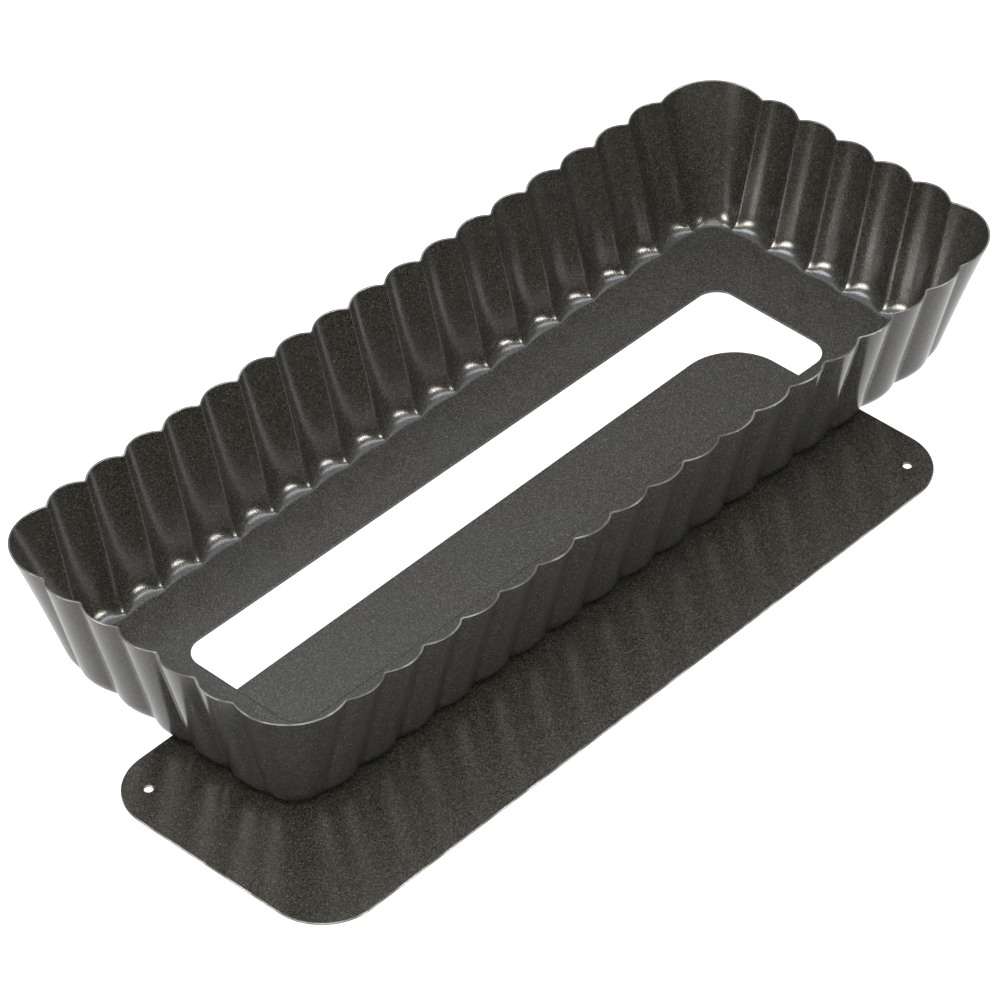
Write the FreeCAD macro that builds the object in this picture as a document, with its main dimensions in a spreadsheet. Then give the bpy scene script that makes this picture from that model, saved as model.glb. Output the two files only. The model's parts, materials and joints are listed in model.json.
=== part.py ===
"""Fluted rectangular tart pan: a fluted rim with an open floor, and the flat loose base that drops into it.

Both pieces are pressed from coated sheet steel. The rim is a ring of convex lobes that meet in narrow
notches; its wall leans outward, turns in at the foot and ends in a flat ledge round a rounded opening.
The base is a flat plate with two hanging holes. Here the base lies flat and the rim stands on it, set to
one side. The origin is the centre of the base's underside, +X along the rim's long side, +Z up.
"""

import FreeCAD, Part, Sketcher
import math
import os

Vector = FreeCAD.Vector

DOC_NAME = "TartPan"

# Driving dimensions: alias, value in millimetres (degrees say so), and what it sets.
DIMENSIONS = [
    ("rim_length", 360.0, "over the lobes of the two short sides, at the top edge"),
    ("rim_width", 147.0, "over the lobes of the two long sides, at the top edge"),
    ("rim_height", 52.0, "underside of the ledge to the top edge"),
    ("rim_sheet", 0.7, "sheet thickness of the rim"),
    ("wall_lean", 14.0, "how far the wall leans outward from foot to top edge"),
    ("flute_pitch", 17.78, "notch to notch along a side, as near as a whole count of lobes comes to it"),
    ("corner_reach_long", 25.77, "end notch of a long side to where the notch lines cross, at the top edge"),
    ("corner_reach_short", 25.95, "the same for the end notch of a short side"),
    ("lobe_depth", 3.1, "lobe crest to notch floor at the top edge"),
    ("lobe_depth_foot", 2.6, "the same at the foot"),
    ("notch_radius", 1.0, "outer radius of the notch between two lobes at the top edge"),
    ("notch_radius_foot", 2.4, "the same at the foot"),
    ("corner_sweep_top", 129.0, "degrees of arc from notch to notch round a corner lobe, at the top edge"),
    ("corner_sweep_foot", 98.0, "the same at the foot"),
    ("foot_height", 7.0, "height over which the wall turns into the ledge"),
    ("foot_inset", 2.5, "how far the notch line steps in over that turn"),
    ("foot_scallop", 0.5, "lobe depth that is left where the turn meets the ledge"),
    ("ledge_end", 26.9, "ledge at a short side, from the foot's notch line to the opening in the floor"),
    ("ledge_side", 26.15, "the same at a long side"),
    ("opening_corner", 8.5, "corner radius of the opening"),
    ("base_sheet", 0.8, "sheet thickness of the loose base"),
    ("base_corner", 21.0, "corner radius of the loose base"),
    ("end_clearance", 2.1, "base to foot of the rim at each short side, when it is seated"),
    ("side_clearance", 0.6, "base to foot of the rim at each long side, when it is seated"),
    ("hang_hole", 3.0, "diameter of a hanging hole"),
    ("hang_inset", 12.6, "hanging hole's centre to the two nearest edges of the base"),
    ("rest_shift_x", 40.9, "rim's centre from the base's centre, along the long side"),
    ("rest_shift_y", 49.8, "rim's centre from the base's centre, along the short side"),
    ("base_turn", 0.86, "degrees the base is turned under the rim"),
]

# Steps of the turn from wall to ledge, in degrees: 0 is tangent to the wall, 90 is flat on the ledge.
FOOT_STEPS = (0.0, 22.5, 45.0, 67.5, 90.0)

doc = FreeCAD.newDocument(DOC_NAME)


def make_sheet():
    """Write the driving dimensions and the sizes worked out from them, each under its own alias."""
    sheet = doc.addObject("Spreadsheet::Sheet", "Dimensions")
    derived = [
        # Half the run of plain lobes between the end notches of a side, their count, and their true pitch.
        ("half_run_long", "=rim_length / 2 - lobe_depth - corner_reach_long"),
        ("half_run_short", "=rim_width / 2 - lobe_depth - corner_reach_short"),
        ("long_lobes", "=round(2 * half_run_long / flute_pitch)"),
        ("short_lobes", "=round(2 * half_run_short / flute_pitch)"),
        ("long_pitch", "=2 * half_run_long / long_lobes"),
        ("short_pitch", "=2 * half_run_short / short_lobes"),
        # Half-sizes of the notch line at the foot, before the turn into the ledge.
        ("foot_half_length", "=rim_length / 2 - lobe_depth - wall_lean"),
        ("foot_half_width", "=rim_width / 2 - lobe_depth - wall_lean"),
        # The opening leaves a ledge of one width along each side.
        ("opening_length", "=2 * (foot_half_length - foot_inset - ledge_end)"),
        ("opening_width", "=2 * (foot_half_width - foot_inset - ledge_side)"),
        # The base seats on the ledge inside the foot, with its clearances all round.
        ("base_length", "=2 * (foot_half_length - foot_inset - rim_sheet - end_clearance)"),
        ("base_width", "=2 * (foot_half_width - foot_inset - rim_sheet - side_clearance)"),
    ]
    for row, (alias, value, meaning) in enumerate(DIMENSIONS, start=1):
        sheet.set("A%d" % row, alias)
        sheet.set("B%d" % row, str(value))
        sheet.set("C%d" % row, meaning)
        sheet.setAlias("B%d" % row, alias)
    for row, (alias, formula) in enumerate(derived, start=len(DIMENSIONS) + 1):
        sheet.set("A%d" % row, alias)
        sheet.setAlias("B%d" % row, alias)
        sheet.set("B%d" % row, formula)
    doc.recompute()
    return sheet


sheet = make_sheet()


def size(alias):
    """Return one value of the sheet as a float."""
    return float(getattr(sheet, alias))


# ---- Fluted rim ----------------------------------------------------------------------------------


def turned(vector, degrees):
    """Return a vector turned about Z."""
    angle = math.radians(degrees)
    return Vector(vector.x * math.cos(angle) - vector.y * math.sin(angle),
                  vector.x * math.sin(angle) + vector.y * math.cos(angle), 0)


def notch_centres(half_length, half_width, notch_radius):
    """Return the centres of all notch arcs, anticlockwise, each with True where a corner lobe follows."""
    long_side = (int(size("long_lobes")), size("long_pitch"))
    short_side = (int(size("short_lobes")), size("short_pitch"))
    sides = [
        (Vector(0, -1, 0), half_width, long_side),
        (Vector(1, 0, 0), half_length, short_side),
        (Vector(0, 1, 0), half_width, long_side),
        (Vector(-1, 0, 0), half_length, short_side),
    ]
    centres = []
    for outward, distance, (lobes, pitch) in sides:
        along = turned(outward, 90)
        for index in range(lobes + 1):
            offset = (index - lobes / 2) * pitch
            centres.append((outward * (distance + notch_radius) + along * offset, index == lobes))
    return centres


def outline(half_length, half_width, depth, notch, corner_sweep, inset, z):
    """Return the closed wire of lobes and notches at one height.

    The outer face's outline has notch lines at the two half-sizes. An inset of one sheet thickness gives
    the inner face's: every arc keeps its centre, so lobes shrink and notches grow by the inset.
    """
    centres = notch_centres(half_length, half_width, notch)
    arcs = []
    for (start, corner_next), (end, _) in zip(centres, centres[1:] + centres[:1]):
        chord = end - start
        half = chord.Length / 2
        # The lobe is tangent to both notch arcs, so its centre lies one lobe and one notch radius away.
        if corner_next:
            reach = half / math.sin(math.radians(corner_sweep / 2))
        else:
            reach = (half ** 2 + depth ** 2) / (2 * depth)
        outward = turned(chord, -90).normalize()
        centre = (start + end) * 0.5 - outward * math.sqrt(reach ** 2 - half ** 2)
        arcs.append((centre, reach - notch - inset, outward, start, end))
    edges = []
    for index, (centre, radius, outward, start, end) in enumerate(arcs):
        first = centre + (start - centre).normalize() * radius
        last = centre + (end - centre).normalize() * radius
        edges.append(Part.Arc(first, centre + outward * radius, last).toShape())
        next_centre, next_radius = arcs[(index + 1) % len(arcs)][:2]
        after = next_centre + (end - next_centre).normalize() * next_radius
        bottom = end + ((centre - end).normalize() + (next_centre - end).normalize()).normalize() * (notch + inset)
        edges.append(Part.Arc(last, bottom, after).toShape())
    wire = Part.Wire(edges)
    wire.translate(Vector(0, 0, z))
    return wire


def blend(foot_alias, top_alias, z):
    """Return a size that changes evenly from the foot to the top edge, at one height."""
    share = z / size("rim_height")
    return size(foot_alias) * (1 - share) + size(top_alias) * share


def sections(prefix, inset, z_floor, z_top):
    """Add the section wires of the outer (inset 0) or inner (inset one sheet) face, foot to top."""
    foot_height, foot_inset = size("foot_height"), size("foot_inset")
    scallop = size("foot_scallop")
    rows = []
    for step in reversed(FOOT_STEPS):
        angle = math.radians(step)
        z = z_floor + (foot_height - z_floor) * (1 - math.sin(angle))
        rows.append((z, foot_inset * (1 - math.cos(angle)), math.cos(angle)))
    rows.append((z_top, 0.0, 1.0))
    objects = []
    for index, (z, step_in, fullness) in enumerate(rows):
        lean = size("wall_lean") * z / size("rim_height")
        depth = scallop + (blend("lobe_depth_foot", "lobe_depth", z) - scallop) * fullness
        wire = outline(size("foot_half_length") + lean - step_in, size("foot_half_width") + lean - step_in,
                       depth, blend("notch_radius_foot", "notch_radius", z),
                       blend("corner_sweep_foot", "corner_sweep_top", z), inset, z)
        section = doc.addObject("Part::Feature", "%s%d" % (prefix, index))
        section.Shape = wire
        objects.append(section)
    return objects


def loft(name, wires):
    """Add a solid ruled loft through the section wires."""
    solid = doc.addObject("Part::Loft", name)
    solid.Sections = wires
    solid.Solid = True
    solid.Ruled = True
    return solid


def make_rim():
    """Build the rim: outer loft, less the cavity, less the opening in the floor."""
    sheet_thickness = size("rim_sheet")
    outer = loft("RimOuter", sections("OuterSection", 0.0, 0.0, size("rim_height")))
    cavity = loft("RimCavity", sections("InnerSection", sheet_thickness, sheet_thickness,
                                        size("rim_height") + sheet_thickness))
    shell = doc.addObject("Part::Cut", "RimShell")
    shell.Base, shell.Tool = outer, cavity

    block = doc.addObject("Part::Box", "OpeningBlock")
    block.setExpression("Length", "Dimensions.opening_length")
    block.setExpression("Width", "Dimensions.opening_width")
    block.setExpression("Height", "3 * Dimensions.rim_sheet")
    block.setExpression("Placement.Base.x", "-Dimensions.opening_length / 2")
    block.setExpression("Placement.Base.y", "-Dimensions.opening_width / 2")
    block.setExpression("Placement.Base.z", "-Dimensions.rim_sheet")
    doc.recompute()
    opening = doc.addObject("Part::Fillet", "OpeningBlockRounded")
    opening.Base = block
    upright = [number for number, edge in enumerate(block.Shape.Edges, start=1)
               if abs(edge.tangentAt(edge.FirstParameter).z) > 0.9]
    opening.Edges = [(number, size("opening_corner"), size("opening_corner")) for number in upright]

    rim = doc.addObject("Part::Cut", "FlutedRim")
    rim.Base, rim.Tool = shell, opening
    rim.Label = "fluted_rim"
    rim.setExpression("Placement.Base.x", "Dimensions.rest_shift_x")
    rim.setExpression("Placement.Base.y", "Dimensions.rest_shift_y")
    rim.setExpression("Placement.Base.z", "Dimensions.base_sheet")
    return rim


# ---- Loose base ----------------------------------------------------------------------------------


def origin_plane(body, role):
    """Return one of the body's own origin planes."""
    return next(feature for feature in body.Origin.OriginFeatures if feature.Role == role)


def named_constraint(sketch, name, constraint, formula):
    """Add a dimension to a sketch and bind it to the sheet."""
    index = sketch.addConstraint(constraint)
    sketch.renameConstraint(index, name)
    sketch.setExpression("Constraints." + name, formula)


def plate_sketch(body):
    """Sketch the base's rectangle, centred on the origin."""
    sketch = body.newObject("Sketcher::SketchObject", "PlateSketch")
    sketch.AttachmentSupport = [(origin_plane(body, "XY_Plane"), "")]
    sketch.MapMode = "FlatFace"
    half_x, half_y = size("base_length") / 2, size("base_width") / 2
    corners = [Vector(-half_x, -half_y, 0), Vector(half_x, -half_y, 0),
               Vector(half_x, half_y, 0), Vector(-half_x, half_y, 0)]
    for start, end in zip(corners, corners[1:] + corners[:1]):
        sketch.addGeometry(Part.LineSegment(start, end))
    for line in range(4):
        sketch.addConstraint(Sketcher.Constraint("Coincident", line, 2, (line + 1) % 4, 1))
        sketch.addConstraint(Sketcher.Constraint("Vertical" if line % 2 else "Horizontal", line))
    sketch.addConstraint(Sketcher.Constraint("Symmetric", 0, 1, 2, 1, -1, 1))
    named_constraint(sketch, "Length", Sketcher.Constraint("DistanceX", 0, 1, 0, 2, 2 * half_x),
                     "Dimensions.base_length")
    named_constraint(sketch, "Width", Sketcher.Constraint("DistanceY", 1, 1, 1, 2, 2 * half_y),
                     "Dimensions.base_width")
    return sketch


def hole_sketch(body):
    """Sketch the two hanging holes, in opposite corners of the base."""
    sketch = body.newObject("Sketcher::SketchObject", "HoleSketch")
    sketch.AttachmentSupport = [(origin_plane(body, "XY_Plane"), "")]
    sketch.MapMode = "FlatFace"
    across = size("base_length") / 2 - size("hang_inset")
    down = size("base_width") / 2 - size("hang_inset")
    radius = size("hang_hole") / 2
    for sign in (1, -1):
        sketch.addGeometry(Part.Circle(Vector(sign * across, -sign * down, 0), Vector(0, 0, 1), radius))
    sketch.addConstraint(Sketcher.Constraint("Symmetric", 0, 3, 1, 3, -1, 1))
    sketch.addConstraint(Sketcher.Constraint("Equal", 0, 1))
    named_constraint(sketch, "HoleDiameter", Sketcher.Constraint("Diameter", 0, 2 * radius),
                     "Dimensions.hang_hole")
    named_constraint(sketch, "HoleX", Sketcher.Constraint("DistanceX", -1, 1, 0, 3, across),
                     "Dimensions.base_length / 2 - Dimensions.hang_inset")
    named_constraint(sketch, "HoleY", Sketcher.Constraint("DistanceY", 0, 3, -1, 1, down),
                     "Dimensions.base_width / 2 - Dimensions.hang_inset")
    return sketch


def make_base():
    """Build the loose base: a flat plate with rounded corners and two hanging holes."""
    body = doc.addObject("PartDesign::Body", "LooseBase")
    body.Label = "loose_base"
    plate = body.newObject("PartDesign::Pad", "Plate")
    plate.Profile = plate_sketch(body)
    plate.setExpression("Length", "Dimensions.base_sheet")
    doc.recompute()

    rounded = body.newObject("PartDesign::Fillet", "PlateCorners")
    upright = ["Edge%d" % number for number, edge in enumerate(plate.Shape.Edges, start=1)
               if abs(edge.tangentAt(edge.FirstParameter).z) > 0.9]
    rounded.Base = (plate, upright)
    rounded.setExpression("Radius", "Dimensions.base_corner")
    doc.recompute()

    holes = body.newObject("PartDesign::Pocket", "HangingHoles")
    holes.Profile = hole_sketch(body)
    holes.Type = "ThroughAll"
    holes.Midplane = True
    doc.recompute()
    expected = rounded.Shape.Volume - 2 * math.pi * (size("hang_hole") / 2) ** 2 * size("base_sheet")
    if abs(holes.Shape.Volume - expected) > 1e-3 * expected:
        raise RuntimeError("the hanging holes did not cut through the base")
    body.Placement = FreeCAD.Placement(Vector(0, 0, 0), FreeCAD.Rotation(Vector(0, 0, 1), size("base_turn")))
    return body


# ---- Build, check and write ----------------------------------------------------------------------


def check(pieces):
    """Stop if the document holds a failed object, or a piece is empty, invalid or not one solid."""
    failed = [obj.Name for obj in doc.Objects if {"Invalid", "Error"} & set(obj.State)]
    if failed:
        raise RuntimeError("failed objects: " + ", ".join(failed))
    for piece in pieces:
        if piece.Shape.isNull() or not piece.Shape.isValid() or len(piece.Shape.Solids) != 1:
            raise RuntimeError(piece.Label + " is not one valid solid")


def main():
    """Build both pieces and write one STEP file for each."""
    pieces = [make_base(), make_rim()]
    doc.recompute()
    check(pieces)
    os.makedirs("parts", exist_ok=True)
    for piece in pieces:
        piece.Shape.exportStep("parts/%s.step" % piece.Label)
        box = piece.Shape.optimalBoundingBox(True, False)
        print("%s: %.1f x %.1f x %.1f mm, from (%.2f, %.2f, %.2f), %.0f mm3"
              % (piece.Label, box.XLength, box.YLength, box.ZLength, box.XMin, box.YMin, box.ZMin,
                 piece.Shape.Volume))


main()
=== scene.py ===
"""Looks for the loose-based fluted tart pan: its fluted rim, its loose base, their coating and the studio."""

import json
import logging
import math
from dataclasses import dataclass
from enum import Enum

import bpy
import numpy as np
from mathutils import Matrix, Vector
from mathutils.geometry import tessellate_polygon


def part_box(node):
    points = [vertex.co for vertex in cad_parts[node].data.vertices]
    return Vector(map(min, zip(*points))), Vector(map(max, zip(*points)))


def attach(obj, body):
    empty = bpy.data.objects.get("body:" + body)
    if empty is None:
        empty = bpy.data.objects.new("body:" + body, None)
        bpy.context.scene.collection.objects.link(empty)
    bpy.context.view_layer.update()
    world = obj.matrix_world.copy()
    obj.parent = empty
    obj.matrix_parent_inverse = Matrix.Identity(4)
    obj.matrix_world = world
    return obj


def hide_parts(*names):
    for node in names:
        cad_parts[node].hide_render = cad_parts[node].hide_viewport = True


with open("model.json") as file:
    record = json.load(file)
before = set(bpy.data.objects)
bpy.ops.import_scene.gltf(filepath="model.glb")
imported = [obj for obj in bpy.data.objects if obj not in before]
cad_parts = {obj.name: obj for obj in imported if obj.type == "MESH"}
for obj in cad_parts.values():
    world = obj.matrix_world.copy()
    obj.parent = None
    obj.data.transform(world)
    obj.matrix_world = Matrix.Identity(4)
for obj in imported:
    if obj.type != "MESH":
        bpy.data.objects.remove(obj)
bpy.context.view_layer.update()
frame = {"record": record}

LOG = logging.getLogger("tart_pan")

# Where the middle point of a rounded cut edge lies, as a share of its radius from both faces.
ROUND_MIDDLE = 0.3

# A face of the plate counts as flat when its normal is at least this upright.
FLAT_NORMAL = 0.99

# The spans of noise over which the coating takes its tint, and over which any finish changes its gloss.
TINT_SPAN = (0.42, 0.66)
GLOSS_SPAN = (0.3, 0.7)

# The span of the burr's noise over which the cut edge turns from dull to bright.
BRIGHT_SPAN = (0.4, 0.62)

# Octaves of finer noise: one for the grain's pits, three for mottle and burrs.
PIT_DETAIL = 1.0
PATCH_DETAIL = 3.0

# A number, or the socket that it comes from.
Value = float | bpy.types.NodeSocket


# ---- Small helpers -------------------------------------------------------------------------------


class Cut(Enum):
    """Which finish a face of pressed sheet takes."""

    COATED = 0
    BARE = 1


def arc(centre: np.ndarray, radius: float, start: float, end: float, steps: int) -> np.ndarray:
    """Sample an arc at even angles.

    Args:
        centre: The arc's centre, as x and y.
        radius: The arc's radius.
        start: First angle, in radians.
        end: Last angle, in radians.
        steps: Number of spans, so one more point than this comes back.

    Returns:
        Points as rows of x and y, both ends included.
    """
    angles = np.linspace(start, end, steps + 1)
    return centre + radius * np.column_stack([np.cos(angles), np.sin(angles)])


def angle_of(vector: np.ndarray) -> float:
    """Return a plane vector's angle from +X, in radians."""
    return math.atan2(vector[1], vector[0])


def lifted(points: np.ndarray, height: float | np.ndarray) -> np.ndarray:
    """Give plane points a height.

    Args:
        points: Rows of x and y.
        height: One height for all of them, or one for each.

    Returns:
        Rows of x, y and z.
    """
    return np.column_stack([points, np.broadcast_to(height, len(points))])


def mesh_object(name: str, vertices: np.ndarray, faces: list, cuts: list[Cut]) -> bpy.types.Object:
    """Make a smooth-shaded mesh object with one material index per face.

    Args:
        name: The object's name.
        vertices: Rows of x, y and z in metres.
        faces: Tuples of vertex indices.
        cuts: The finish of each face.

    Returns:
        The new object, linked to the scene.
    """
    mesh = bpy.data.meshes.new(name)
    mesh.from_pydata(vertices.tolist(), [], faces)
    mesh.polygons.foreach_set("material_index", [cut.value for cut in cuts])
    mesh.polygons.foreach_set("use_smooth", [True] * len(faces))
    mesh.validate()
    mesh.update()
    piece = bpy.data.objects.new(name, mesh)
    bpy.context.scene.collection.objects.link(piece)
    return piece


# ---- Finishes ------------------------------------------------------------------------------------


def new_group(name: str, inputs: list[tuple[str, str]], outputs: list[tuple[str, str]]) -> bpy.types.NodeTree:
    """Start a shader node group with named sockets.

    Args:
        name: The group's name.
        inputs: Socket name and socket type of each input.
        outputs: Socket name and socket type of each output.

    Returns:
        The group, with its Group Input and Group Output nodes in place.
    """
    group = bpy.data.node_groups.new(name, "ShaderNodeTree")
    for in_out, sockets in (("INPUT", inputs), ("OUTPUT", outputs)):
        for socket_name, socket_type in sockets:
            group.interface.new_socket(socket_name, in_out=in_out, socket_type=socket_type)
    group.nodes.new("NodeGroupInput")
    group.nodes.new("NodeGroupOutput")
    return group


def math_node(tree: bpy.types.NodeTree, operation: str, *values: Value) -> bpy.types.NodeSocket:
    """Add a Math node and return its output.

    Args:
        tree: The node tree to add to.
        operation: The Math node's operation.
        values: Numbers or sockets for its inputs, in order.

    Returns:
        The node's output socket.
    """
    node = tree.nodes.new("ShaderNodeMath")
    node.operation = operation
    for socket, value in zip(node.inputs, values):
        if isinstance(value, bpy.types.NodeSocket):
            tree.links.new(value, socket)
        else:
            socket.default_value = value
    return node.outputs["Value"]


def ramp(tree: bpy.types.NodeTree, value: bpy.types.NodeSocket, span: tuple[float, float],
         to_low: Value = 0.0, to_high: Value = 1.0) -> bpy.types.NodeSocket:
    """Map a value smoothly from one range to another.

    Args:
        tree: The node tree to add to.
        value: The socket to read.
        span: The values that give to_low and to_high.
        to_low: Number or socket at the low end.
        to_high: Number or socket at the high end.

    Returns:
        The mapped value's socket.
    """
    node = tree.nodes.new("ShaderNodeMapRange")
    node.interpolation_type = "SMOOTHSTEP"
    tree.links.new(value, node.inputs["Value"])
    node.inputs["From Min"].default_value, node.inputs["From Max"].default_value = span
    for socket_name, target in (("To Min", to_low), ("To Max", to_high)):
        if isinstance(target, bpy.types.NodeSocket):
            tree.links.new(target, node.inputs[socket_name])
        else:
            node.inputs[socket_name].default_value = target
    return node.outputs["Result"]


def mix_colour(tree: bpy.types.NodeTree, share: bpy.types.NodeSocket, first: object,
               second: object) -> bpy.types.NodeSocket:
    """Mix two colours.

    Args:
        tree: The node tree to add to.
        share: Socket with the second colour's share, 0 to 1.
        first: Colour or socket.
        second: Colour or socket.

    Returns:
        The mixed colour's socket.
    """
    node = tree.nodes.new("ShaderNodeMix")
    node.data_type = "RGBA"
    tree.links.new(share, node.inputs[0])
    for socket, value in ((node.inputs[6], first), (node.inputs[7], second)):
        if isinstance(value, bpy.types.NodeSocket):
            tree.links.new(value, socket)
        else:
            socket.default_value = value
    return node.outputs[2]


def noise(tree: bpy.types.NodeTree, vector: bpy.types.NodeSocket, scale: Value,
          detail: float) -> bpy.types.NodeSocket:
    """Add a noise texture.

    Args:
        tree: The node tree to add to.
        vector: Coordinates to read, in metres.
        scale: Number or socket, in cycles per metre.
        detail: Octaves of finer noise.

    Returns:
        The noise value's socket.
    """
    node = tree.nodes.new("ShaderNodeTexNoise")
    tree.links.new(vector, node.inputs["Vector"])
    if isinstance(scale, bpy.types.NodeSocket):
        tree.links.new(scale, node.inputs["Scale"])
    else:
        node.inputs["Scale"].default_value = scale
    node.inputs["Detail"].default_value = detail
    return node.outputs["Fac"]


def speckle_group() -> bpy.types.NodeTree:
    """Build the speckle that the rim's and the base's coating share.

    Returns:
        A group that turns coordinates into the coating's colour, roughness and height.
    """
    group = new_group(
        "CoatingSpeckle",
        [("Vector", "NodeSocketVector"), ("Dark", "NodeSocketColor"), ("Light", "NodeSocketColor"),
         ("Tint", "NodeSocketColor"), ("Fleck", "NodeSocketColor"), ("Grain Scale", "NodeSocketFloat"),
         ("Fleck Share", "NodeSocketFloat"), ("Mottle Scale", "NodeSocketFloat"),
         ("Tint Share", "NodeSocketFloat"), ("Smooth", "NodeSocketFloat"), ("Rough", "NodeSocketFloat")],
        [("Color", "NodeSocketColor"), ("Roughness", "NodeSocketFloat"), ("Height", "NodeSocketFloat")])
    source = group.nodes["Group Input"].outputs
    target = group.nodes["Group Output"].inputs

    cells = group.nodes.new("ShaderNodeTexVoronoi")
    group.links.new(source["Vector"], cells.inputs["Vector"])
    group.links.new(source["Grain Scale"], cells.inputs["Scale"])
    chance = group.nodes.new("ShaderNodeSeparateColor")
    group.links.new(cells.outputs["Color"], chance.inputs["Color"])
    edge = math_node(group, "SUBTRACT", 1.0, source["Fleck Share"])
    picked = math_node(group, "GREATER_THAN", chance.outputs["Green"], edge)
    fleck = math_node(group, "MULTIPLY", picked, chance.outputs["Blue"])

    pits = noise(group, source["Vector"], source["Grain Scale"], PIT_DETAIL)
    mottle = noise(group, source["Vector"], source["Mottle Scale"], PATCH_DETAIL)
    ground = mix_colour(group, chance.outputs["Red"], source["Dark"], source["Light"])
    patches = ramp(group, mottle, TINT_SPAN, 0.0, source["Tint Share"])
    tinted = mix_colour(group, patches, ground, source["Tint"])
    group.links.new(mix_colour(group, fleck, tinted, source["Fleck"]), target["Color"])
    group.links.new(ramp(group, mottle, GLOSS_SPAN, source["Smooth"], source["Rough"]), target["Roughness"])
    group.links.new(pits, target["Height"])
    return group


@dataclass(frozen=True)
class SpeckledCoating:
    """Dark non-stick coating with a fine metallic speckle."""

    name: str
    dark: tuple[float, float, float] = (0.0035, 0.0031, 0.0026)
    light: tuple[float, float, float] = (0.048, 0.044, 0.0355)
    tint: tuple[float, float, float] = (0.020, 0.0205, 0.0175)
    fleck: tuple[float, float, float] = (0.105, 0.099, 0.084)
    grain_scale: float = 3400.0
    fleck_share: float = 0.11
    mottle_scale: float = 26.0
    tint_share: float = 0.4
    smooth: float = 0.19
    rough: float = 0.24
    grain_height: float = 0.000025
    grain_strength: float = 0.5

    def material(self, speckle: bpy.types.NodeTree) -> bpy.types.Material:
        """Make the coating's material.

        Args:
            speckle: The shared speckle group.

        Returns:
            The material.
        """
        material = bpy.data.materials.new(self.name)
        material.use_nodes = True
        tree = material.node_tree
        shader = tree.nodes["Principled BSDF"]
        place = tree.nodes.new("ShaderNodeTexCoord")
        pattern = tree.nodes.new("ShaderNodeGroup")
        pattern.node_tree = speckle
        tree.links.new(place.outputs["Object"], pattern.inputs["Vector"])
        for socket_name, colour in (("Dark", self.dark), ("Light", self.light), ("Tint", self.tint),
                                    ("Fleck", self.fleck)):
            pattern.inputs[socket_name].default_value = (*colour, 1.0)
        for socket_name, value in (("Grain Scale", self.grain_scale), ("Fleck Share", self.fleck_share),
                                   ("Mottle Scale", self.mottle_scale), ("Tint Share", self.tint_share),
                                   ("Smooth", self.smooth), ("Rough", self.rough)):
            pattern.inputs[socket_name].default_value = value
        bump = tree.nodes.new("ShaderNodeBump")
        bump.inputs["Strength"].default_value = self.grain_strength
        bump.inputs["Distance"].default_value = self.grain_height
        tree.links.new(pattern.outputs["Height"], bump.inputs["Height"])
        tree.links.new(pattern.outputs["Color"], shader.inputs["Base Color"])
        tree.links.new(pattern.outputs["Roughness"], shader.inputs["Roughness"])
        tree.links.new(bump.outputs["Normal"], shader.inputs["Normal"])
        return material


@dataclass(frozen=True)
class BareEdge:
    """Raw sheared steel where the sheet was trimmed, patchy where the coating has crept over it."""

    name: str
    bright: tuple[float, float, float] = (0.22, 0.215, 0.20)
    dull: tuple[float, float, float] = (0.07, 0.067, 0.061)
    burr_scale: float = 90.0
    sheared: float = 0.45
    rubbed: float = 0.30
    metallic: float = 0.6

    def material(self) -> bpy.types.Material:
        """Make the cut edge's material.

        Returns:
            The material.
        """
        material = bpy.data.materials.new(self.name)
        material.use_nodes = True
        tree = material.node_tree
        shader = tree.nodes["Principled BSDF"]
        place = tree.nodes.new("ShaderNodeTexCoord")
        burr = noise(tree, place.outputs["Object"], self.burr_scale, PATCH_DETAIL)
        colour = mix_colour(tree, ramp(tree, burr, BRIGHT_SPAN), (*self.dull, 1.0), (*self.bright, 1.0))
        tree.links.new(colour, shader.inputs["Base Color"])
        tree.links.new(ramp(tree, burr, GLOSS_SPAN, self.sheared, self.rubbed), shader.inputs["Roughness"])
        shader.inputs["Metallic"].default_value = self.metallic
        return material


# ---- Fluted rim ----------------------------------------------------------------------------------


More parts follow.
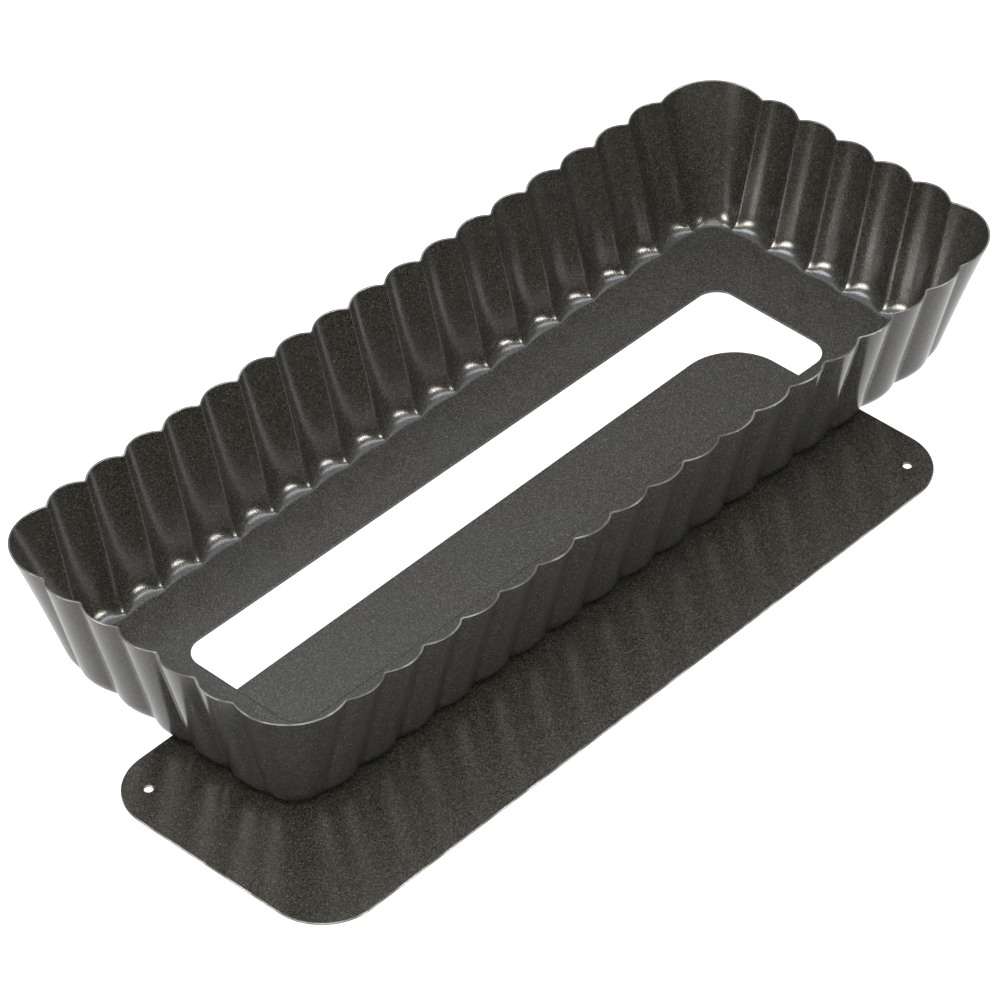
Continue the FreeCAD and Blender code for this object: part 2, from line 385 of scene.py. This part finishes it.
@dataclass
class FluteOutline:
    """The rim's outline at one height: convex lobes that meet in narrow notches. Sizes in metres."""

    half_length: float
    half_width: float
    lobe_depth: float
    notch_radius: float
    corner_sweep: float
    pitch: float
    long_lobes: int
    short_lobes: int
    lobe_steps: int = 14
    notch_steps: int = 4
    corner_steps: int = 30

    def notch_centres(self) -> list[tuple[np.ndarray, bool]]:
        """Place the notch arcs, anticlockwise from the front left.

        Returns:
            Each notch arc's centre, with True where a corner lobe follows it.
        """
        sides = (((0, -1), self.half_width, self.long_lobes), ((1, 0), self.half_length, self.short_lobes),
                 ((0, 1), self.half_width, self.long_lobes), ((-1, 0), self.half_length, self.short_lobes))
        centres = []
        for outward, distance, lobes in sides:
            out = np.array(outward, float)
            along = np.array([-out[1], out[0]])
            for index in range(lobes + 1):
                place = out * (distance + self.notch_radius) + along * (index - lobes / 2) * self.pitch
                centres.append((place, index == lobes))
        return centres

    def lobes(self) -> list[tuple[np.ndarray, float, float, float, int]]:
        """Fit a lobe between each pair of notches, tangent to both.

        Returns:
            Each lobe's centre, outer radius, first angle, last angle and number of spans.
        """
        centres = self.notch_centres()
        plain = ((self.pitch / 2) ** 2 + self.lobe_depth ** 2) / (2 * self.lobe_depth)
        found = []
        for (start, corner_next), (end, _) in zip(centres, centres[1:] + centres[:1]):
            chord = end - start
            half = float(np.hypot(*chord)) / 2
            reach = half / math.sin(self.corner_sweep / 2) if corner_next else plain
            outward = np.array([chord[1], -chord[0]]) / (2 * half)
            centre = (start + end) / 2 - outward * math.sqrt(reach ** 2 - half ** 2)
            middle, spread = angle_of(outward), math.asin(half / reach)
            steps = self.corner_steps if corner_next else self.lobe_steps
            found.append((centre, reach - self.notch_radius, middle - spread, middle + spread, steps))
        return found

    def points(self, inset: float = 0.0) -> np.ndarray:
        """Trace the outline.

        Args:
            inset: How far inside the outer face to trace it; every arc keeps its centre.

        Returns:
            Rows of x and y, always the same number in the same order.
        """
        lobes = self.lobes()
        notches = [centre for centre, _ in self.notch_centres()]
        rows = []
        for index, (centre, radius, start, end, steps) in enumerate(lobes):
            rows.append(arc(centre, radius - inset, start, end, steps))
            notch = notches[(index + 1) % len(notches)]
            first = angle_of(centre - notch)
            last = angle_of(lobes[(index + 1) % len(lobes)][0] - notch)
            turn = (first - last) % (2 * math.pi)
            rows.append(arc(notch, self.notch_radius + inset, first, first - turn, self.notch_steps)[1:-1])
        return np.vstack(rows)

    def crests(self) -> np.ndarray:
        """Say how near each point of the outline is to a crest.

        Returns:
            One value for each point: 0 in a notch, 1 on a lobe's crest.
        """
        rows = []
        for _, _, start, end, steps in self.lobes():
            rows.append(np.sin(np.linspace(0.0, math.pi, steps + 1)))
            rows.append(np.zeros(self.notch_steps - 1))
        return np.concatenate(rows)


@dataclass
class FlutedRim:
    """The pan's fluted rim, pressed from one sheet, with a flat ledge round its open floor.

    Sizes are in metres, and down to opening_corner they are the CAD rim's. The rest are the mesh's own: how
    far the top edge drops in a notch, the roundings of its trimmed and of its punched edge, how near a cut
    edge a row of points holds the face flat, and the number of rows up the foot and up the wall.
    """

    low: Vector
    high: Vector
    sheet: float = 0.0007
    wall_lean: float = 0.014
    flute_pitch: float = 0.01778
    long_lobes: int = 17
    short_lobes: int = 5
    lobe_depth: float = 0.0031
    lobe_depth_foot: float = 0.0026
    notch_radius: float = 0.0010
    notch_radius_foot: float = 0.0024
    corner_sweep: float = math.radians(129.0)
    corner_sweep_foot: float = math.radians(98.0)
    foot_height: float = 0.007
    foot_inset: float = 0.0025
    foot_scallop: float = 0.0005
    opening_length: float = 0.267
    opening_width: float = 0.0555
    opening_corner: float = 0.0085
    notch_drop: float = 0.0005
    edge_round: float = 0.00015
    punch_round: float = 0.0003
    holding: float = 0.0004
    foot_steps: int = 10
    wall_steps: int = 10

    @property
    def height(self) -> float:
        """Return the rim's height."""
        return self.high.z - self.low.z

    def blend(self, foot: float, top: float, height: float) -> float:
        """Return a size that changes evenly from foot to top edge, at one height."""
        share = height / self.height
        return foot * (1 - share) + top * share

    def outline(self, height: float, step_in: float = 0.0, fullness: float = 1.0) -> FluteOutline:
        """Return the outline at one height.

        Args:
            height: Height above the underside.
            step_in: How far the foot's turn has brought the notch line in.
            fullness: Share of the lobe depth that the foot's turn leaves.

        Returns:
            The outline of the outer face.
        """
        lean = self.wall_lean * height / self.height - self.wall_lean - step_in
        depth = self.blend(self.lobe_depth_foot, self.lobe_depth, height)
        return FluteOutline(
            half_length=(self.high.x - self.low.x) / 2 - self.lobe_depth + lean,
            half_width=(self.high.y - self.low.y) / 2 - self.lobe_depth + lean,
            lobe_depth=self.foot_scallop + (depth - self.foot_scallop) * fullness,
            notch_radius=self.blend(self.notch_radius_foot, self.notch_radius, height),
            corner_sweep=self.blend(self.corner_sweep_foot, self.corner_sweep, height),
            pitch=self.flute_pitch, long_lobes=self.long_lobes, short_lobes=self.short_lobes)

    def foot_rows(self, floor: float, inset: float) -> list[np.ndarray]:
        """Trace the turn from ledge to wall on one face of the sheet.

        Args:
            floor: Height of that face of the ledge.
            inset: 0 for the outer face, one sheet thickness for the inner.

        Returns:
            Rows of points, from the ledge up.
        """
        rows = []
        for angle in np.linspace(math.pi / 2, 0.0, self.foot_steps + 1):
            height = floor + (self.foot_height - floor) * (1 - math.sin(angle))
            outline = self.outline(height, self.foot_inset * (1 - math.cos(angle)), math.cos(angle))
            rows.append(lifted(outline.points(inset), height))
        return rows

    def wall_rows(self, inset: float) -> list[np.ndarray]:
        """Trace the leaning wall above the foot, up to just under the top edge's rounding.

        Args:
            inset: 0 for the outer face, one sheet thickness for the inner.

        Returns:
            Rows of points, from the foot up.
        """
        crests = self.outline(self.height).crests()
        top = self.height - self.edge_round - self.notch_drop * (1 - crests)
        shares = [step / self.wall_steps for step in range(1, self.wall_steps)]
        shares += [1 - self.holding / (self.height - self.foot_height), 1.0]
        rows = []
        for share in shares:
            nominal = self.foot_height + (self.height - self.foot_height) * share
            height = self.foot_height + (top - self.foot_height) * share
            rows.append(lifted(self.outline(nominal).points(inset), height))
        return rows

    def edge_rows(self) -> list[np.ndarray]:
        """Trace the trimmed top edge, from its outer to its inner rounding.

        Returns:
            Rows of points, in order across the sheet.
        """
        outline = self.outline(self.height)
        base = self.height - self.edge_round - self.notch_drop * (1 - outline.crests())
        rows = []
        for angle in map(math.radians, (30, 60, 90)):
            rows.append((self.edge_round * (1 - math.cos(angle)), self.edge_round * math.sin(angle)))
        rows += [(self.sheet - inset, rise) for inset, rise in reversed(rows)]
        return [lifted(outline.points(inset), base + rise) for inset, rise in rows]

    def ledge_row(self, height: float, back: float) -> np.ndarray:
        """Trace the opening's edge, one point for each point of the foot.

        Args:
            height: Height of the row.
            back: How far outside the opening's edge the row lies.

        Returns:
            Rows of x, y and z.
        """
        foot = self.outline(self.sheet, self.foot_inset, 0.0).points(self.sheet)
        core = np.array([self.opening_length, self.opening_width]) / 2 - self.opening_corner
        nearest = np.clip(foot, -core, core)
        away = foot - nearest
        away /= np.linalg.norm(away, axis=1, keepdims=True)
        return lifted(nearest + away * (self.opening_corner + back), height)

    def opening_rows(self) -> list[np.ndarray]:
        """Trace the opening's trimmed edge, from the ledge's upper face down to its underside.

        Returns:
            Rows of points, in order across the sheet.
        """
        radius, middle = self.punch_round, ROUND_MIDDLE * self.punch_round
        under = [(0.0, radius), (middle, middle), (radius, 0.0), (2 * self.holding, 0.0)]
        over = [(back, self.sheet - height) for back, height in reversed(under)]
        return [self.ledge_row(height, back) for back, height in over + under]

    def build(self) -> bpy.types.Object:
        """Mesh the rim as one closed band of rows round its cross-section.

        Returns:
            The rim.
        """
        outer = self.foot_rows(0.0, 0.0) + self.wall_rows(0.0)
        edge = self.edge_rows()
        inner = (self.foot_rows(self.sheet, self.sheet) + self.wall_rows(self.sheet))[::-1]
        opening = self.opening_rows()
        rows = outer + edge + inner + opening
        bare_spans = set(range(len(outer) - 1, len(outer) + len(edge)))
        count = len(rows[0])
        faces, cuts = [], []
        for row in range(len(rows)):
            here, there = row * count, (row + 1) % len(rows) * count
            for index in range(count):
                after = (index + 1) % count
                faces.append((here + index, here + after, there + after, there + index))
                cuts.append(Cut.BARE if row in bare_spans else Cut.COATED)
        vertices = np.vstack(rows)
        vertices += [(self.low.x + self.high.x) / 2, (self.low.y + self.high.y) / 2, self.low.z]
        return mesh_object("fluted_rim_pressing", vertices, faces, cuts)


# ---- Loose base ----------------------------------------------------------------------------------


@dataclass
class LooseBase:
    """The flat base plate that drops into the rim.

    Sizes are in metres. The holes are their centres, and turn is how far the plate lies turned on the table.
    """

    holes: list[Vector]
    turn: float = math.radians(0.86)
    length: float = 0.3152
    width: float = 0.1052
    sheet: float = 0.0008
    corner: float = 0.021
    hang_hole: float = 0.0030
    edge_round: float = 0.0003
    corner_steps: int = 24
    hole_steps: int = 32

    def rim_loop(self, inset: float) -> np.ndarray:
        """Trace the plate's rounded rectangle.

        Args:
            inset: How far inside its edge to trace it.

        Returns:
            Rows of x and y.
        """
        centre = np.array([self.length, self.width]) / 2 - self.corner
        loops = []
        for index, signs in enumerate(((1, 1), (-1, 1), (-1, -1), (1, -1))):
            start = index * math.pi / 2
            loops.append(arc(centre * signs, self.corner - inset, start, start + math.pi / 2,
                             self.corner_steps))
        return np.vstack(loops)

    def hole_loop(self, centre: np.ndarray, inset: float) -> np.ndarray:
        """Trace a hanging hole, this far outside its wall."""
        return arc(centre, self.hang_hole / 2 + inset, 0.0, 2 * math.pi, self.hole_steps)[:-1]

    def loops(self, inset: float, height: float) -> list[np.ndarray]:
        """Trace the plate's edge and both holes at one height.

        Args:
            inset: How far into the metal the loops lie.
            height: Their height.

        Returns:
            The plate's loop, then one for each hole.
        """
        back = Matrix.Rotation(-self.turn, 3, "Z")
        centres = [np.array((back @ hole)[:2]) for hole in self.holes]
        flat = [self.rim_loop(inset)] + [self.hole_loop(centre, inset) for centre in centres]
        return [lifted(loop, height) for loop in flat]

    def build(self) -> bpy.types.Object:
        """Mesh the plate: two flat faces, and a rounded trimmed edge round it and round each hole.

        Returns:
            The base.
        """
        radius, middle = self.edge_round, ROUND_MIDDLE * self.edge_round
        under = [(radius, 0.0), (middle, middle), (0.0, radius)]
        profile = under + [(inset, self.sheet - height) for inset, height in reversed(under)]
        levels = [self.loops(inset, height) for inset, height in profile]
        vertices, faces, cuts, starts = [], [], [], {}
        for level, loops in enumerate(levels):
            for which, loop in enumerate(loops):
                starts[level, which] = len(vertices)
                vertices.extend(loop.tolist())
        for which, loop in enumerate(levels[0]):
            count = len(loop)
            for level in range(len(levels) - 1):
                here, there = starts[level, which], starts[level + 1, which]
                for index in range(count):
                    after = (index + 1) % count
                    quad = (here + index, here + after, there + after, there + index)
                    faces.append(quad if which == 0 else quad[::-1])
                    cuts.append(Cut.BARE)
        for level, downward in ((0, True), (len(levels) - 1, False)):
            loops = [[Vector(point) for point in loop] for loop in levels[level]]
            order = [starts[level, which] + index
                     for which, loop in enumerate(loops) for index in range(len(loop))]
            for corners in tessellate_polygon(loops):
                face = tuple(order[corner] for corner in corners)
                first, second, third = (Vector(vertices[corner]) for corner in face)
                normal = (second - first).cross(third - first)
                faces.append(face if (normal.z < 0) == downward else face[::-1])
                cuts.append(Cut.COATED)
        piece = mesh_object("loose_base_plate", np.array(vertices), faces, cuts)
        for polygon in piece.data.polygons:
            if abs(polygon.normal.z) > FLAT_NORMAL:
                polygon.use_smooth = False
        piece.data.transform(Matrix.Rotation(self.turn, 4, "Z"))
        return piece


# ---- Studio --------------------------------------------------------------------------------------


# Light colours, and the white of the table and the dome.
WARM = (1.0, 0.95, 0.87)
PALE_WARM = (1.0, 0.955, 0.885)
COOL = (0.88, 0.94, 1.0)
WHITE = (1.0, 1.0, 1.0, 1.0)


@dataclass(frozen=True)
class Softbox:
    """One rectangular soft light, placed by its direction from the pan.

    Angles are in degrees, distance and size in metres, power in watts. A glint-only light shows in the
    coating's gloss and adds nothing to its ground colour.
    """

    name: str
    azimuth: float
    elevation: float
    distance: float
    size: tuple[float, float]
    power: float
    colour: tuple[float, float, float]
    glint_only: bool = True

    def build(self, target: Vector) -> None:
        """Hang the light and aim it.

        Args:
            target: The point it faces.
        """
        data = bpy.data.lights.new(self.name, "AREA")
        data.shape = "RECTANGLE"
        data.size, data.size_y = self.size
        data.energy = self.power
        data.color = self.colour
        light = bpy.data.objects.new(self.name, data)
        azimuth, elevation = math.radians(self.azimuth), math.radians(self.elevation)
        towards = Vector((math.cos(azimuth) * math.cos(elevation), math.sin(azimuth) * math.cos(elevation),
                          math.sin(elevation)))
        light.location = target + towards * self.distance
        light.rotation_euler = towards.to_track_quat("Z", "Y").to_euler()
        light.visible_camera = False
        light.visible_diffuse = not self.glint_only
        bpy.context.scene.collection.objects.link(light)


# From the middle of the rim's underside to the point that the camera and the lights face.
AIM_OFFSET = Vector((-0.00398, 0.00346, 0.0))

SOFTBOXES = (
    Softbox("overhead_softbox", azimuth=45.0, elevation=82.0, distance=1.7, size=(2.6, 2.6), power=38.0,
            colour=COOL, glint_only=False),
    Softbox("fill_softbox", azimuth=-135.0, elevation=58.0, distance=1.6, size=(1.2, 1.2), power=21.0,
            colour=PALE_WARM, glint_only=False),
    Softbox("right_strip", azimuth=-72.0, elevation=22.0, distance=1.6, size=(0.60, 0.20), power=22.0,
            colour=WARM),
    Softbox("left_strip", azimuth=172.0, elevation=19.0, distance=1.6, size=(0.80, 0.36), power=38.0,
            colour=WARM),
    Softbox("upper_right_strip", azimuth=-64.0, elevation=48.0, distance=1.6, size=(1.0, 0.34), power=10.0,
            colour=COOL),
    Softbox("upper_left_strip", azimuth=150.0, elevation=50.0, distance=1.6, size=(0.8, 0.28), power=14.0,
            colour=COOL),
)


@dataclass
class Studio:
    """White table, soft lights and the camera. Sizes in metres, angles in radians."""

    target: Vector
    table_size: float = 8.0
    table_gap: float = 0.0001
    table_grey: float = 0.15
    table_glow: float = 1.15
    table_roughness: float = 0.9
    dome_strength: float = 0.41
    azimuth: float = math.radians(-45.683)
    elevation: float = math.radians(40.556)
    roll: float = math.radians(-1.13)
    distance: float = 2.0599
    lens: float = 215.53
    sensor: float = 36.0
    near_clip: float = 0.05
    far_clip: float = 40.0

    def table(self) -> None:
        """Lay the white table that the pan stands on, a hair below it."""
        half = self.table_size / 2
        corners = [(-half, -half, 0), (half, -half, 0), (half, half, 0), (-half, half, 0)]
        mesh = bpy.data.meshes.new("table")
        mesh.from_pydata(corners, [], [(0, 1, 2, 3)])
        table = bpy.data.objects.new("table", mesh)
        table.location.z = -self.table_gap
        bpy.context.scene.collection.objects.link(table)
        material = bpy.data.materials.new("white_table")
        material.use_nodes = True
        shader = material.node_tree.nodes["Principled BSDF"]
        shader.inputs["Base Color"].default_value = (self.table_grey, self.table_grey, self.table_grey, 1.0)
        shader.inputs["Roughness"].default_value = self.table_roughness
        shader.inputs["Emission Color"].default_value = WHITE
        shader.inputs["Emission Strength"].default_value = self.table_glow
        mesh.materials.append(material)

    def dome(self) -> None:
        """Fill the room with even, pale light."""
        world = bpy.data.worlds.new("dome")
        world.use_nodes = True
        background = world.node_tree.nodes["Background"]
        background.inputs["Color"].default_value = WHITE
        background.inputs["Strength"].default_value = self.dome_strength
        bpy.context.scene.world = world

    def camera(self) -> None:
        """Set up the camera by its direction from the pan."""
        back = Vector((math.sin(self.azimuth) * math.cos(self.elevation),
                       -math.cos(self.azimuth) * math.cos(self.elevation), math.sin(self.elevation)))
        across = Vector((0, 0, 1)).cross(back).normalized()
        up = back.cross(across)
        right = across * math.cos(self.roll) + up * math.sin(self.roll)
        top = up * math.cos(self.roll) - across * math.sin(self.roll)
        data = bpy.data.cameras.new("camera")
        data.lens, data.sensor_width = self.lens, self.sensor
        data.clip_start, data.clip_end = self.near_clip, self.far_clip
        camera = bpy.data.objects.new("camera", data)
        turn = Matrix((right, top, back)).transposed().to_4x4()
        camera.matrix_world = Matrix.Translation(self.target + back * self.distance) @ turn
        bpy.context.scene.collection.objects.link(camera)
        bpy.context.scene.camera = camera

    def build(self) -> None:
        """Set up the table, lights and camera."""
        self.table()
        self.dome()
        self.camera()
        for softbox in SOFTBOXES:
            softbox.build(self.target)
        bpy.context.scene.view_settings.view_transform = "Standard"


# ---- Assembly ------------------------------------------------------------------------------------


def dress(piece: bpy.types.Object, node: str, body: str,
          materials: list[bpy.types.Material]) -> None:
    """Give a piece its finishes and put it in its CAD node's place.

    Args:
        piece: The piece.
        node: The CAD node it stands for.
        body: The body it moves with.
        materials: Its coating and its cut edge, in that order.
    """
    for material in materials:
        piece.data.materials.append(material)
    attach(piece, body)
    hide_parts(node)
    LOG.info("%s: %d faces, rides on %s", piece.name, len(piece.data.polygons), body)


def main() -> None:
    """Build the pan's two pieces and the studio."""
    logging.basicConfig(level=logging.INFO, format="%(name)s: %(message)s")
    speckle = speckle_group()
    edge = BareEdge("cut_edge").material()

    low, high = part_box("fluted_rim")
    rim = FlutedRim(low, high).build()
    coating = SpeckledCoating("rim_coating").material(speckle)
    dress(rim, "fluted_rim", "rim", [coating, edge])

    mounts = {mount["name"]: mount for mount in frame["record"]["mounts"]}
    holes = [Vector(mounts[name]["pos_m"]) for name in ("hanging_hole_front", "hanging_hole_back")]
    base = LooseBase(holes).build()
    coating = SpeckledCoating("base_coating").material(speckle)
    dress(base, "loose_base", "base", [coating, edge])

    centre = (low + high) / 2
    Studio(Vector((centre.x, centre.y, low.z)) + AIM_OFFSET).build()


if __name__ == "__main__":
    main()
